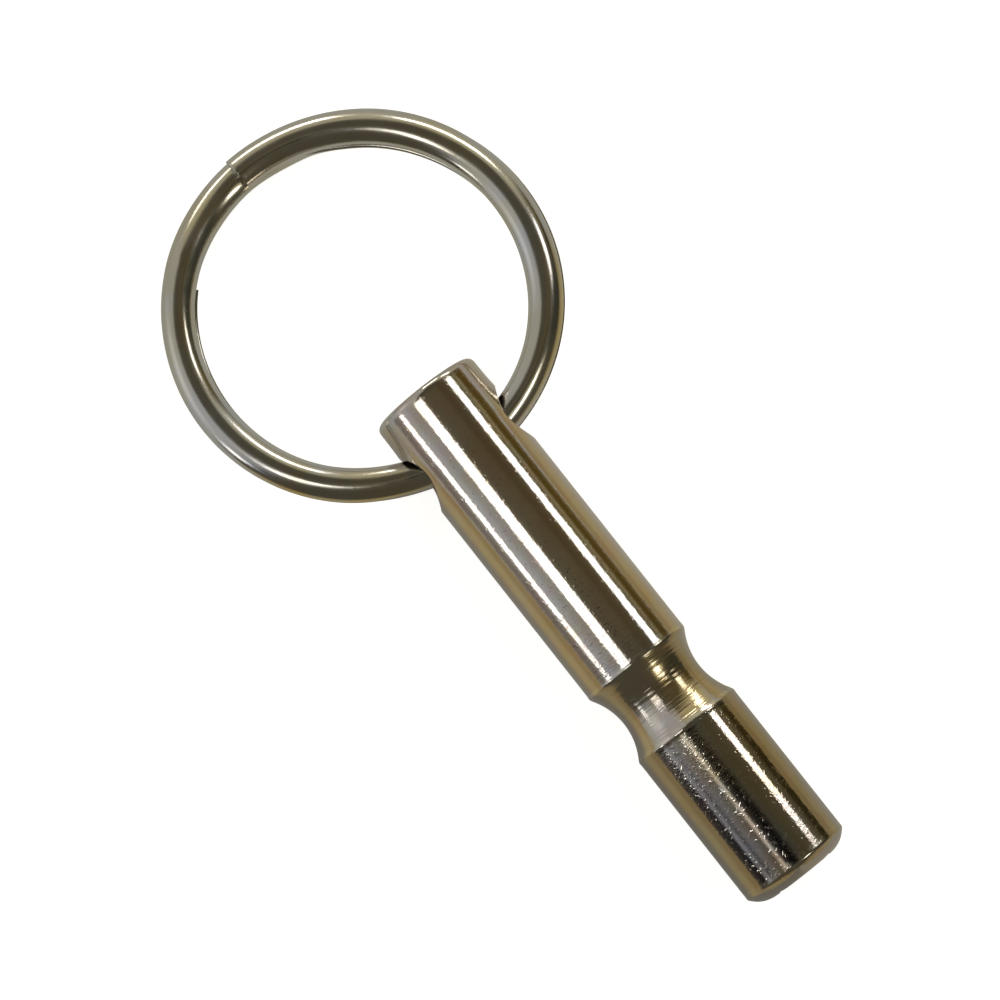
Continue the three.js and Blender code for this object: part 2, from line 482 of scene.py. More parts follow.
def wander(travel):
    """Offsets of the wire's two edges, smoothed over a few degrees along it."""
    outer = 0 * travel
    inner = 0 * travel
    for shift in np.linspace(-WANDER_SPREAD_DEG, WANDER_SPREAD_DEG, WANDER_SAMPLES):
        held = np.minimum(travel + shift, WANDER_HOLD_DEG)
        spot = np.where(travel < WANDER_BREAK_DEG, held, travel + shift)
        outer = outer + np.interp(spot, WANDER[:, 0], WANDER[:, 1]) / WANDER_SAMPLES
        inner = inner + np.interp(spot, WANDER[:, 0], WANDER[:, 2]) / WANDER_SAMPLES
    return outer, inner


def wire_map(length):
    """The wire's own map, one corner at a time: millimetres along it, and millimetres round it. Each
    triangle of a cut end takes one spot, so it has no lines across it."""
    round_it = np.arange(ROUND_WIRE + 1) * WIRE_GIRTH / ROUND_WIRE
    i, j = np.meshgrid(np.arange(len(length) - 1), np.arange(ROUND_WIRE), indexing="ij")
    u = np.stack([length[i], length[i], length[i + 1], length[i + 1]], -1)
    v = np.stack([round_it[j], round_it[j + 1], round_it[j + 1], round_it[j]], -1)
    end_u = np.repeat(length[[0, -1]], 3 * ROUND_WIRE)
    end_v = np.repeat(np.tile(round_it[:-1], 2), 3)
    sides = np.stack([u, v], -1).reshape(-1, 2)
    return np.concatenate([sides, np.stack([end_u, end_v], -1)])


def split_ring():
    """The wire's section carried along two turns: the angle falls steadily from the upper cut end, and the
    level drops by one wire over a short ramp. The section leans by an angle that goes as the cosine round
    the ring. Each cut end is a flat face with a small round edge."""
    per_degree = MEAN_RADIUS * math.pi / 180
    bend = np.linspace(0, math.pi / 2, CUT_ROWS + 1)[1:]
    shrink = np.concatenate([1 - CUT_ROUND * (1 - np.cos(bend)), CUT_FACE_SHARES])
    face_ahead = np.full(len(CUT_FACE_SHARES), CUT_ROUND)
    ahead = np.concatenate([CUT_ROUND * np.sin(bend), face_ahead]) / per_degree
    inset = CUT_ROUND / per_degree
    travel = np.linspace(inset, TRAVEL_DEG - inset, ALONG_WIRE)
    travel = np.concatenate([travel[0] - ahead[::-1], travel, travel[-1] + ahead])
    scale = np.concatenate([shrink[::-1], np.ones(ALONG_WIRE), shrink])
    down = smooth(travel, RAMP_START_DEG, RAMP_START_DEG + RAMP_DEG)
    level = (WIRE_THICKNESS + TURN_GAP) * (0.5 - down)
    angle = np.radians(UPPER_END_DEG - travel)
    across, up = wire_section(1 - smooth(travel, FLIP_START_DEG, FLIP_END_DEG)[:, None])
    outer, inner = wander(travel)
    middle = MEAN_RADIUS + (outer + inner) / 2
    wider = 1 + (outer - inner) / WIRE_WIDTH
    across, up = across * (scale * wider)[:, None], up * scale[:, None]
    lean = math.radians(LEAN_DEG) * np.cos(angle - math.radians(LEAN_TOWARD_DEG))[:, None]
    leant_across = across * np.cos(lean) + up * np.sin(lean)
    leant_up = up * np.cos(lean) - across * np.sin(lean)
    radius = middle[:, None] + leant_across
    cos, sin = np.cos(angle), np.sin(angle)
    skin = np.stack([radius * cos[:, None], radius * sin[:, None], level[:, None] + leant_up], -1)
    core = np.stack([middle * cos, middle * sin, level], -1)
    rows = len(skin)
    everything = np.concatenate([skin.reshape(-1, 3), core[[0, -1]]])
    back = MEAN_RADIUS - RING_SHIFT
    offset = np.array([-back * math.cos(RING_YAW), back * math.sin(RING_YAW), -RING_DROP])
    swing = np.array(Matrix.Rotation(-RING_DROOP, 3, "Y"))
    placed = ((everything + offset) @ swing.T) * MM + np.array(hole_axis)
    four = quads(rows, ROUND_WIRE)
    three = end_fans(rows, ROUND_WIRE, rows * ROUND_WIRE)
    return make_piece("nickel_split_ring", placed, four, three, wire_map(travel * per_degree))


# Shader node groups and materials

PER_METRE = (1000.0, 1000.0, 1000.0)

# Plating colours, and one painted highlight tint
NICKEL = (0.6, 0.565, 0.5, 1.0)
NICKEL_TONED = (0.56, 0.49, 0.36, 1.0)
NICKEL_GREY = (0.55, 0.55, 0.56, 1.0)
NICKEL_WORN = (0.68, 0.64, 0.56, 1.0)
# Painted highlight: a warm gold laid on the groove's +Y side, where the lamps' highlights fall, not a colour
# of the plating
PAINTED_GOLD_HIGHLIGHT = (0.7, 0.58, 0.33, 1.0)
NICKEL_ROSE = (0.6, 0.51, 0.47, 1.0)
WIRE_NICKEL = (0.59, 0.57, 0.52, 1.0)
WIRE_TONED = (0.56, 0.52, 0.41, 1.0)
PIT_COLOUR = (0.12, 0.1, 0.07, 1.0)


def new_group(name, inputs, outputs):
    """A shader node group with named sockets, its input and output nodes made."""
    tree = bpy.data.node_groups.new(name, "ShaderNodeTree")
    for label, kind, value in inputs:
        socket = tree.interface.new_socket(name=label, in_out="INPUT", socket_type=kind)
        if value is not None:
            socket.default_value = value
    for label, kind in outputs:
        tree.interface.new_socket(name=label, in_out="OUTPUT", socket_type=kind)
    return tree, tree.nodes.new("NodeGroupInput"), tree.nodes.new("NodeGroupOutput")


def feed(tree, slot, value):
    """Link a socket to another's result, or set it to a plain value."""
    if isinstance(value, bpy.types.NodeSocket):
        tree.links.new(value, slot)
    else:
        slot.default_value = value


def put(tree, kind, settings=None, **sockets):
    """One node with its settings, and its sockets fed by name, or by number as i0, i1 and so on."""
    node = tree.nodes.new(kind)
    for key, value in (settings or {}).items():
        setattr(node, key, value)
    for key, value in sockets.items():
        numbered = key[0] == "i" and key[1:].isdigit()
        feed(tree, node.inputs[int(key[1:]) if numbered else key], value)
    return node


def maths(tree, operation, a, b=0.0, c=0.0, clamp=False):
    """One Math node, and its result."""
    settings = {"operation": operation, "use_clamp": clamp}
    return put(tree, "ShaderNodeMath", settings, i0=a, i1=b, i2=c).outputs[0]


def ramp(tree, value, low, high, to_low=0.0, to_high=1.0):
    """A value carried smoothly from one range to another."""
    node = put(tree, "ShaderNodeMapRange", {"interpolation_type": "SMOOTHSTEP"}, i0=value, i1=low, i2=high)
    feed(tree, node.inputs[3], to_low)
    feed(tree, node.inputs[4], to_high)
    return node.outputs[0]


def noise(tree, vector, scale, detail=2.0, roughness=0.5):
    """A Noise Texture's value on the given coordinates."""
    node = put(tree, "ShaderNodeTexNoise", None, Vector=vector, Scale=scale)
    feed(tree, node.inputs["Detail"], detail)
    feed(tree, node.inputs["Roughness"], roughness)
    return node.outputs[0]


def blend_colour(tree, share, a, b):
    """Colour a turning into colour b as share goes from 0 to 1."""
    return put(tree, "ShaderNodeMix", {"data_type": "RGBA"}, i0=share, i6=a, i7=b).outputs[2]


# How far noise is drawn out along a mark, as its change per millimetre
DRAWN_OUT = 0.12

# Peel: the broad dimples' share of the height. The fine dimples and the grains are so many times closer.
BROAD_HEIGHT = 0.3
FINE_TIMES = 2.7
GRAIN_TIMES = 1.25
GRAIN_RANGE = (0.6, 0.69)
GRAIN_SHIFT = (5.0, 9.0, 2.0)

# Where in its noise each mask starts and is full, and how far a second noise is moved from the first
FILM_RANGE = (0.38, 0.66)
SECOND_FILM_RANGE = (0.48, 0.7)
SECOND_FILM_SHIFT = (7.0, 3.0, 11.0)
WEAR_PER_MM = 1.8
WEAR_RANGE = (0.42, 0.6)
RARE_RANGE = (0.86, 0.9)


def turning_marks_group():
    """Fine rings left by the lathe: noise squeezed along the bar, in millimetres, and drawn out round it."""
    tree, given, out = new_group(
        "turning_marks",
        [("Vector", "NodeSocketVector", None), ("Rings per mm", "NodeSocketFloat", 4.0)],
        [("Height", "NodeSocketFloat")],
    )
    part = put(tree, "ShaderNodeSeparateXYZ", None, Vector=given.outputs["Vector"])
    x = maths(tree, "MULTIPLY", part.outputs[0], given.outputs["Rings per mm"])
    y = maths(tree, "MULTIPLY", part.outputs[1], DRAWN_OUT)
    z = maths(tree, "MULTIPLY", part.outputs[2], DRAWN_OUT)
    pack = put(tree, "ShaderNodeCombineXYZ", None, X=x, Y=y, Z=z)
    height = noise(tree, pack.outputs[0], 1.0, 3.0, 0.6)
    tree.links.new(height, out.inputs["Height"])
    return tree


def plating_peel_group():
    """The slightly uneven skin of plating: soft dimples, with a few sharper grains among them."""
    tree, given, out = new_group(
        "plating_peel",
        [
            ("Vector", "NodeSocketVector", None),
            ("Dimples per mm", "NodeSocketFloat", 2.2),
            ("Fine share", "NodeSocketFloat", 0.6),
            ("Grain", "NodeSocketFloat", 0.3),
        ],
        [("Height", "NodeSocketFloat")],
    )
    broad = noise(tree, given.outputs["Vector"], given.outputs["Dimples per mm"], 2.0, 0.55)
    fine_scale = maths(tree, "MULTIPLY", given.outputs["Dimples per mm"], FINE_TIMES)
    fine = noise(tree, given.outputs["Vector"], fine_scale, 2.0, 0.6)
    grain_scale = maths(tree, "MULTIPLY", given.outputs["Dimples per mm"], GRAIN_TIMES)
    shifted = put(tree, "ShaderNodeMapping", None, Vector=given.outputs["Vector"], Location=GRAIN_SHIFT)
    grains = ramp(tree, noise(tree, shifted.outputs[0], grain_scale, 1.0, 0.5), *GRAIN_RANGE)
    grain = maths(tree, "MULTIPLY", grains, given.outputs["Grain"])
    height = maths(tree, "MULTIPLY_ADD", broad, BROAD_HEIGHT, grain)
    height = maths(tree, "MULTIPLY_ADD", fine, given.outputs["Fine share"], height)
    tree.links.new(height, out.inputs["Height"])
    return tree


def warm_film_group():
    """Two sets of cloudy patches where the plating has changed colour: 0 bright, 1 fully changed."""
    tree, given, out = new_group(
        "warm_film",
        [
            ("Vector", "NodeSocketVector", None),
            ("Patches per mm", "NodeSocketFloat", 0.2),
            ("Amount", "NodeSocketFloat", 1.0),
        ],
        [("Mask", "NodeSocketFloat"), ("Second mask", "NodeSocketFloat")],
    )
    cloud = noise(tree, given.outputs["Vector"], given.outputs["Patches per mm"], 3.0, 0.55)
    mask = ramp(tree, cloud, *FILM_RANGE)
    moved = put(tree, "ShaderNodeMapping", None, Vector=given.outputs["Vector"])
    feed(tree, moved.inputs["Location"], SECOND_FILM_SHIFT)
    other = noise(tree, moved.outputs[0], given.outputs["Patches per mm"], 3.0, 0.55)
    second = ramp(tree, other, *SECOND_FILM_RANGE)
    tree.links.new(maths(tree, "MULTIPLY", mask, given.outputs["Amount"]), out.inputs["Mask"])
    tree.links.new(maths(tree, "MULTIPLY", second, given.outputs["Amount"]), out.inputs["Second mask"])
    return tree


def edge_wear_group():
    """A band about one station along the bar where the plating is rubbed, broken up by noise."""
    tree, given, out = new_group(
        "edge_wear",
        [
            ("Vector", "NodeSocketVector", None),
            ("Station", "NodeSocketFloat", 0.0),
            ("Half width", "NodeSocketFloat", 0.4),
        ],
        [("Mask", "NodeSocketFloat")],
    )
    part = put(tree, "ShaderNodeSeparateXYZ", None, Vector=given.outputs["Vector"])
    off = maths(tree, "ABSOLUTE", maths(tree, "SUBTRACT", part.outputs[0], given.outputs["Station"]))
    near = maths(tree, "DIVIDE", off, given.outputs["Half width"])
    band = ramp(tree, near, 1.0, 0.2)
    broken = ramp(tree, noise(tree, given.outputs["Vector"], WEAR_PER_MM, 3.0, 0.6), *WEAR_RANGE)
    tree.links.new(maths(tree, "MULTIPLY", band, broken), out.inputs["Mask"])
    return tree


def specks_group():
    """Tiny dark pits and dust, each well under a millimetre, thinly scattered."""
    tree, given, out = new_group(
        "specks",
        [
            ("Vector", "NodeSocketVector", None),
            ("Cells per mm", "NodeSocketFloat", 0.9),
            ("Size", "NodeSocketFloat", 0.1),
        ],
        [("Mask", "NodeSocketFloat")],
    )
    cell = put(tree, "ShaderNodeTexVoronoi", {"feature": "F1"}, Vector=given.outputs["Vector"])
    feed(tree, cell.inputs["Scale"], given.outputs["Cells per mm"])
    dot = ramp(tree, maths(tree, "DIVIDE", cell.outputs["Distance"], given.outputs["Size"]), 1.0, 0.5)
    chance = put(tree, "ShaderNodeSeparateColor", None, i0=cell.outputs["Color"])
    rare = ramp(tree, chance.outputs[0], *RARE_RANGE)
    tree.links.new(maths(tree, "MULTIPLY", dot, rare), out.inputs["Mask"])
    return tree


def drawn_lines_group():
    """Lines along the wire from the drawing die: noise on the wire's own map, drawn out along it."""
    tree, given, out = new_group(
        "drawn_lines",
        [("Vector", "NodeSocketVector", None), ("Lines per mm", "NodeSocketFloat", 5.0)],
        [("Height", "NodeSocketFloat")],
    )
    part = put(tree, "ShaderNodeSeparateXYZ", None, Vector=given.outputs["Vector"])
    along = maths(tree, "MULTIPLY", part.outputs[0], DRAWN_OUT)
    across = maths(tree, "MULTIPLY", part.outputs[1], given.outputs["Lines per mm"])
    pack = put(tree, "ShaderNodeCombineXYZ", None, X=along, Y=across)
    tree.links.new(noise(tree, pack.outputs[0], 1.0, 2.0, 0.55), out.inputs["Height"])
    return tree


def use(tree, group, **sockets):
    """A node group placed in a material with its own values; spaces in socket names are underscores."""
    node = put(tree, "ShaderNodeGroup", {"node_tree": group})
    for key, value in sockets.items():
        feed(tree, node.inputs[key.replace("_", " ")], value)
    return node


def new_material(name):
    """An empty material with its shader, its place in millimetres, and the piece's own map."""
    material = bpy.data.materials.new(name)
    material.use_nodes = True
    tree = material.node_tree
    tree.nodes.clear()
    shader = tree.nodes.new("ShaderNodeBsdfPrincipled")
    output = tree.nodes.new("ShaderNodeOutputMaterial")
    tree.links.new(shader.outputs[0], output.inputs[0])
    coordinates = tree.nodes.new("ShaderNodeTexCoord")
    in_mm = put(tree, "ShaderNodeMapping", None, Vector=coordinates.outputs["Object"], Scale=PER_METRE)
    return material, tree, shader, in_mm.outputs[0], coordinates.outputs["UV"]


turning_marks = turning_marks_group()
plating_peel = plating_peel_group()
warm_film = warm_film_group()
edge_wear = edge_wear_group()
specks = specks_group()
drawn_lines = drawn_lines_group()

# Where the bar's finish changes, in millimetres: from the groove's middle (GROOVE), along the bar from its
# ring end (SHORT_LAND and END), and from its axis towards +Y (GOLD, where the painted gold highlight lies)
GROOVE_FADE = (3.4, 2.9)
GROOVE_EDGE = 3.3
SHORT_LAND_FADE = (34.9, 35.6)
END_EDGE = 49.5
GOLD_FROM = (-1.0, 0.5)
GOLD_TO = (3.0, 2.2)
GOLD_FULL = 0.75

# Heights of the marks, as shares of a full bump, and the full bump in metres
LATHE_RINGS = 0.15
LATHE_RINGS_IN_GROOVE = 5.0
GRAIN = 0.3
GRAIN_ON_SHORT_LAND = 0.25
BAR_PIT = -2.0
BAR_BUMP = 8e-6
WIRE_LINES = 0.7
WIRE_PIT = -1.5
WIRE_BUMP = 6e-6

# Roughness: the least of each finish, and what each kind of mark adds to it
BAR_ROUGH = 0.04
BAR_ROUGH_CLOUD = 0.06
GROOVE_ROUGH = 0.05
WORN_ROUGH = 0.1
PIT_ROUGH = 0.4
WIRE_ROUGH = 0.05
WIRE_ROUGH_CLOUD = 0.14
WIRE_ROUGH_LINES = 0.12


def bar_finish():
    """Nickel plate over a turned bar: rings left by the lathe, deep in the groove and faint on the lands,
    dimpled plating that breaks the edges of reflections, toned patches, rubbed edges, a few pits and a
    painted gold highlight in the groove."""
    material, tree, shader, mm, _ = new_material("nickel_plated_bar")
    part = put(tree, "ShaderNodeSeparateXYZ", None, Vector=mm)
    along, across = part.outputs[0], part.outputs[1]
    groove = BAR_START + GROOVE_CENTRE
    off_groove = maths(tree, "ABSOLUTE", maths(tree, "SUBTRACT", along, groove))
    in_groove = ramp(tree, off_groove, *GROOVE_FADE)
    on_short = ramp(tree, along, *[BAR_START + place_at for place_at in SHORT_LAND_FADE])
    worn = use(tree, edge_wear, Vector=mm, Station=BAR_START + END_EDGE, Half_width=0.5).outputs[0]
    for station in (groove - GROOVE_EDGE, groove + GROOVE_EDGE):
        edge = use(tree, edge_wear, Vector=mm, Station=station, Half_width=0.25)
        worn = maths(tree, "MAXIMUM", worn, edge.outputs[0])
    pits = use(tree, specks, Vector=mm, Cells_per_mm=0.4, Size=0.032).outputs[0]
    film = use(tree, warm_film, Vector=mm, Patches_per_mm=0.16, Amount=1.0)
    blush = use(tree, warm_film, Vector=mm, Patches_per_mm=0.45, Amount=0.8)
    colour = blend_colour(tree, film.outputs["Mask"], NICKEL, NICKEL_TONED)
    colour = blend_colour(tree, film.outputs["Second mask"], colour, NICKEL_GREY)
    colour = blend_colour(tree, blush.outputs["Mask"], colour, NICKEL_ROSE)
    # Painted highlight: a gold tint across the groove's +Y side, where its highlights fall
    gold_from = ramp(tree, across, *[BAR_Y + side for side in GOLD_FROM])
    gold_to = ramp(tree, across, *[BAR_Y + side for side in GOLD_TO], 0.0, GOLD_FULL)
    gold = maths(tree, "MULTIPLY", in_groove, maths(tree, "MULTIPLY", gold_from, gold_to))
    colour = blend_colour(tree, gold, colour, PAINTED_GOLD_HIGHLIGHT)
    colour = blend_colour(tree, worn, colour, NICKEL_WORN)
    colour = blend_colour(tree, pits, colour, PIT_COLOUR)
    feed(tree, shader.inputs["Base Color"], colour)
    feed(tree, shader.inputs["Metallic"], 1.0)
    cloud = noise(tree, mm, 1.3, 3.0, 0.6)
    rough = maths(tree, "MULTIPLY_ADD", cloud, BAR_ROUGH_CLOUD, BAR_ROUGH)
    rough = maths(tree, "MULTIPLY_ADD", in_groove, GROOVE_ROUGH, rough)
    rough = maths(tree, "MULTIPLY_ADD", worn, WORN_ROUGH, rough)
    rough = maths(tree, "MULTIPLY_ADD", pits, PIT_ROUGH, rough, clamp=True)
    feed(tree, shader.inputs["Roughness"], rough)
    rings = use(tree, turning_marks, Vector=mm, Rings_per_mm=4.5)
    ring_depth = maths(tree, "MULTIPLY_ADD", in_groove, LATHE_RINGS_IN_GROOVE, LATHE_RINGS)
    ring_height = maths(tree, "MULTIPLY", rings.outputs[0], ring_depth)
    grain = maths(tree, "MULTIPLY_ADD", on_short, GRAIN_ON_SHORT_LAND, GRAIN)
    peel = use(tree, plating_peel, Vector=mm, Dimples_per_mm=2.2, Fine_share=0.5, Grain=grain)
    pit_height = maths(tree, "MULTIPLY", pits, BAR_PIT)
    height = maths(tree, "ADD", maths(tree, "ADD", ring_height, peel.outputs[0]), pit_height)
    bump = put(tree, "ShaderNodeBump", None, Strength=1.0, Distance=BAR_BUMP, Height=height)
    feed(tree, shader.inputs["Normal"], bump.outputs[0])
    return material


def wire_finish():
    """Nickel plate over drawn wire: fine lines along it, soft dimples, toned and greyed patches, pits."""
    material, tree, shader, mm, own_map = new_material("nickel_plated_wire")
    pits = use(tree, specks, Vector=mm, Cells_per_mm=0.4, Size=0.03).outputs[0]
    film = use(tree, warm_film, Vector=mm, Patches_per_mm=0.13, Amount=1.0)
    colour = blend_colour(tree, film.outputs["Mask"], WIRE_NICKEL, WIRE_TONED)
    colour = blend_colour(tree, film.outputs["Second mask"], colour, NICKEL_GREY)
    colour = blend_colour(tree, pits, colour, PIT_COLOUR)
    feed(tree, shader.inputs["Base Color"], colour)
    feed(tree, shader.inputs["Metallic"], 1.0)
    lines = use(tree, drawn_lines, Vector=own_map, Lines_per_mm=4.0)
    fine_lines = use(tree, drawn_lines, Vector=own_map, Lines_per_mm=9.0)
    cloud = noise(tree, mm, 0.5, 3.0, 0.6)
    rough = maths(tree, "MULTIPLY_ADD", cloud, WIRE_ROUGH_CLOUD, WIRE_ROUGH)
    rough = maths(tree, "MULTIPLY_ADD", fine_lines.outputs[0], WIRE_ROUGH_LINES, rough)
    rough = maths(tree, "MULTIPLY_ADD", pits, PIT_ROUGH, rough, clamp=True)
    feed(tree, shader.inputs["Roughness"], rough)
    peel = use(tree, plating_peel, Vector=mm, Dimples_per_mm=1.3, Fine_share=0.25, Grain=0.1)
    height = maths(tree, "MULTIPLY_ADD", lines.outputs[0], WIRE_LINES, peel.outputs[0])
    height = maths(tree, "MULTIPLY_ADD", pits, WIRE_PIT, height)
    bump = put(tree, "ShaderNodeBump", None, Strength=1.0, Distance=WIRE_BUMP, Height=height)
    feed(tree, shader.inputs["Normal"], bump.outputs[0])
    return material


bar = key_bar()
bar.data.materials.append(bar_finish())
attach(bar, "key")
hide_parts("key_body")

ring = split_ring()
ring.data.materials.append(wire_finish())
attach(ring, "ring")
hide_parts("split_ring")

# Floor, light and camera

# The floor, in metres. The tints are what the metal mirrors of it. The spans are where one turns into the
# next: from the key's right to its left, away from it, towards the ring, and dimmer by the socket end.
FLOOR_HALF = 4.0
FLOOR_LEVEL = -0.00003
FLOOR_WHITE = (0.9, 0.9, 0.9, 1.0)
FLOOR_GLOW = 0.8
FLOOR_NEAR = (0.44, 0.415, 0.345, 1.0)
# Painted shade: the mirrored floor close to the key's left is darker
FLOOR_SHADE_LEFT = (0.27, 0.265, 0.23, 1.0)
FLOOR_BY_RING = (0.45, 0.445, 0.395, 1.0)
FLOOR_MIDDLE = (0.47, 0.395, 0.22, 1.0)
FLOOR_FAR = (0.38, 0.295, 0.15, 1.0)
LEFT_SPAN = (0.002, -0.002)
MIDDLE_SPAN = (0.009, 0.018)
FAR_SPAN = (0.02, 0.045)
RING_SPAN = (-0.008, -0.018)
# Painted shade: the mirrored floor is dimmer by the socket end
SOCKET_SHADE_SPAN = (0.014, 0.022)
SOCKET_SHADE_SHARE = 0.74


def pale_floor():
    """A wide flat floor just under the key. Seen straight on it is close to white; mirrored in the metal
    it is a dimmer glowing card, warmer away from the key, with painted shade beside the key's left and by
    the socket end."""
    mesh = bpy.data.meshes.new("floor")
    h = FLOOR_HALF
    z = FLOOR_LEVEL
    mesh.from_pydata([(-h, -h, z), (h, -h, z), (h, h, z), (-h, h, z)], [], [(0, 1, 2, 3)])
    floor = bpy.data.objects.new("floor", mesh)
    bpy.context.scene.collection.objects.link(floor)
    material = bpy.data.materials.new("pale_floor")
    material.use_nodes = True
    tree = material.node_tree
    tree.nodes.clear()
    path = tree.nodes.new("ShaderNodeLightPath")
    white = put(tree, "ShaderNodeBsdfDiffuse", None, Color=FLOOR_WHITE)
    glow = put(tree, "ShaderNodeEmission", None, Strength=FLOOR_GLOW)
    seen = put(tree, "ShaderNodeAddShader", None, i0=white.outputs[0], i1=glow.outputs[0])
    part = put(tree, "ShaderNodeSeparateXYZ", None, i0=put(tree, "ShaderNodeTexCoord").outputs["Object"])
    along, across = part.outputs[0], part.outputs[1]
    away = maths(tree, "ABSOLUTE", across)
    # Painted shade beside the key's left
    tint = blend_colour(tree, ramp(tree, across, *LEFT_SPAN), FLOOR_NEAR, FLOOR_SHADE_LEFT)
    tint = blend_colour(tree, ramp(tree, away, *MIDDLE_SPAN), tint, FLOOR_MIDDLE)
    tint = blend_colour(tree, ramp(tree, away, *FAR_SPAN), tint, FLOOR_FAR)
    tint = blend_colour(tree, ramp(tree, along, *RING_SPAN), tint, FLOOR_BY_RING)
    # Painted shade: dimmer by the socket end
    dim = ramp(tree, along, *SOCKET_SHADE_SPAN, 1.0, SOCKET_SHADE_SHARE)
    mirrored = put(tree, "ShaderNodeEmission", None, Color=tint, Strength=dim)
    either = put(tree, "ShaderNodeMixShader", None, i0=path.outputs["Is Camera Ray"])
    feed(tree, either.inputs[1], mirrored.outputs[0])
    feed(tree, either.inputs[2], seen.outputs[0])
    put(tree, "ShaderNodeOutputMaterial", None, i0=either.outputs[0])
    mesh.materials.append(material)


# The room close to the plane across the key: angle from straight up towards +Y, and colour, as seen in the
# metal towards the ring and towards the socket. The edge between the two, and where the plane's
# neighbourhood ends, are the sideways lean of a direction along +X.
SIDE_EDGE = -0.014
SIDE_SOFTNESS = 0.005
RING_FADE = (-0.2, -0.14)
SOCKET_FADE = (0.12, 0.07)
RING_SIDE = [
    (-90.0, 0.26, 0.225, 0.2),
    (-80.0, 0.25, 0.225, 0.2),
    (-74.0, 0.4, 0.4, 0.39),
    (-57.0, 0.5, 0.53, 0.57),
    (-46.0, 0.4, 0.4, 0.396),
    (-30.0, 0.4, 0.39, 0.36),
    (-15.0, 0.24, 0.22, 0.16),
    (-8.0, 0.14, 0.125, 0.085),
    (0.0, 0.13, 0.11, 0.07),
    (10.0, 0.13, 0.105, 0.06),
    (20.0, 0.123, 0.099, 0.054),
    (29.0, 0.1, 0.074, 0.036),
    (38.0, 0.11, 0.08, 0.04),
    (46.0, 0.15, 0.13, 0.085),
    (64.0, 0.2, 0.173, 0.09),
    (69.5, 0.34, 0.29, 0.16),
    (73.5, 0.14, 0.1, 0.03),
    (80.0, 0.1, 0.065, 0.012),
    (90.0, 0.2, 0.15, 0.06),
]
SOCKET_SIDE = [
    (-90.0, 0.1, 0.09, 0.07),
    (-86.0, 0.05, 0.045, 0.038),
    (-79.0, 0.025, 0.023, 0.023),
    (-70.0, 0.01, 0.01, 0.012),
    (-67.0, 0.19, 0.2, 0.23),
    (-63.0, 0.26, 0.275, 0.31),
    (-56.0, 0.08, 0.083, 0.095),
    (-46.0, 0.19, 0.186, 0.186),
    (-29.0, 0.12, 0.105, 0.07),
    (-25.5, 0.3, 0.26, 0.2),
    (-21.5, 0.85, 0.79, 0.66),
    (-18.5, 0.3, 0.27, 0.21),
    (-15.5, 0.03, 0.028, 0.023),
    (-7.0, 0.006, 0.006, 0.006),
    (0.0, 0.004, 0.004, 0.004),
    (5.0, 0.02, 0.02, 0.016),
    (12.0, 0.065, 0.063, 0.044),
    (27.0, 0.077, 0.066, 0.032),
    (42.0, 0.1, 0.085, 0.05),
    (64.0, 0.13, 0.125, 0.075),
    (71.0, 0.09, 0.08, 0.045),
    (78.0, 0.035, 0.028, 0.011),
    (90.0, 0.035, 0.028, 0.011),
]
ROOM_DARK = (0.09, 0.08, 0.056, 1.0)
# Paler and darker walls: azimuth, half width, nearest and farthest angle from straight up, softness, colour
ROOM_PATCHES = [
    (-122.0, 28.0, 25.0, 95.0, 4.0, (0.5, 0.5, 0.49, 1.0)),
    (-125.0, 14.0, 54.0, 76.0, 8.0, (0.8, 0.8, 0.78, 1.0)),
    (196.0, 16.0, 33.0, 95.0, 5.0, (0.48, 0.47, 0.44, 1.0)),
    (143.0, 38.0, 45.0, 95.0, 6.0, (0.5, 0.46, 0.33, 1.0)),
    (36.0, 16.0, 24.0, 52.0, 5.0, (0.55, 0.5, 0.3, 1.0)),
    (68.0, 14.0, 42.0, 95.0, 6.0, (0.045, 0.045, 0.033, 1.0)),
]
LENGTHWAYS = (1.0, 0.0, 0.0)
UP = Vector((0.0, 0.0, 1.0))

# Lamps: distance in metres and colour, then for each its direction, length, width and radiance. The long
# ones run with the key, and the others lie level, set by azimuth and angle from straight up.
LAMP_DISTANCE = 0.9
LAMP_COLOUR = (1.0, 0.98, 0.95)
KEY_LAMPS = [
    ("right_strip", (-0.05, 0.792, 0.608), 0.24, 0.21, 3.0),
    ("overhead_box", (-0.079, -0.389, 0.918), 0.15, 0.31, 3.0),
    ("left_strip", (-0.088, -0.92, 0.383), 0.15, 0.16, 2.6),
]
LEVEL_LAMPS = [
    ("far_strip_a", 167.0, 76.0, 0.4),
    ("far_strip_b", 130.0, 68.0, 0.42),
    ("near_strip", 36.0, 40.0, 0.3),
]
LEVEL_WIDTH = 0.16
LEVEL_RADIANCE = 5.0


def toward(azimuth, from_up):
    """Unit vector at an azimuth from +X towards +Y and an angle from straight up, in degrees."""
    a, p = math.radians(azimuth), math.radians(from_up)
    return Vector((math.sin(p) * math.cos(a), math.sin(p) * math.sin(a), math.cos(p)))


def soft_box(name, direction, long_way, length, width, brightness):
    """A flat lamp facing the key. length and width are its size as shares of its distance, and
    brightness is its radiance."""
    data = bpy.data.lights.new(name, "AREA")
    data.shape = "RECTANGLE"
    data.size = length * LAMP_DISTANCE
    data.size_y = width * LAMP_DISTANCE
    data.color = LAMP_COLOUR
    data.energy = brightness * math.pi * data.size * data.size_y
    lamp = bpy.data.objects.new(name, data)
    bpy.context.scene.collection.objects.link(lamp)
    back = Vector(direction).normalized()
    along = Vector(long_way)
    along = (along - back * along.dot(back)).normalized()
    other = back.cross(along)
    turn = Matrix((along, other, back)).transposed().to_4x4()
    lamp.matrix_world = Matrix.Translation(back * LAMP_DISTANCE) @ turn
    lamp.visible_camera = False


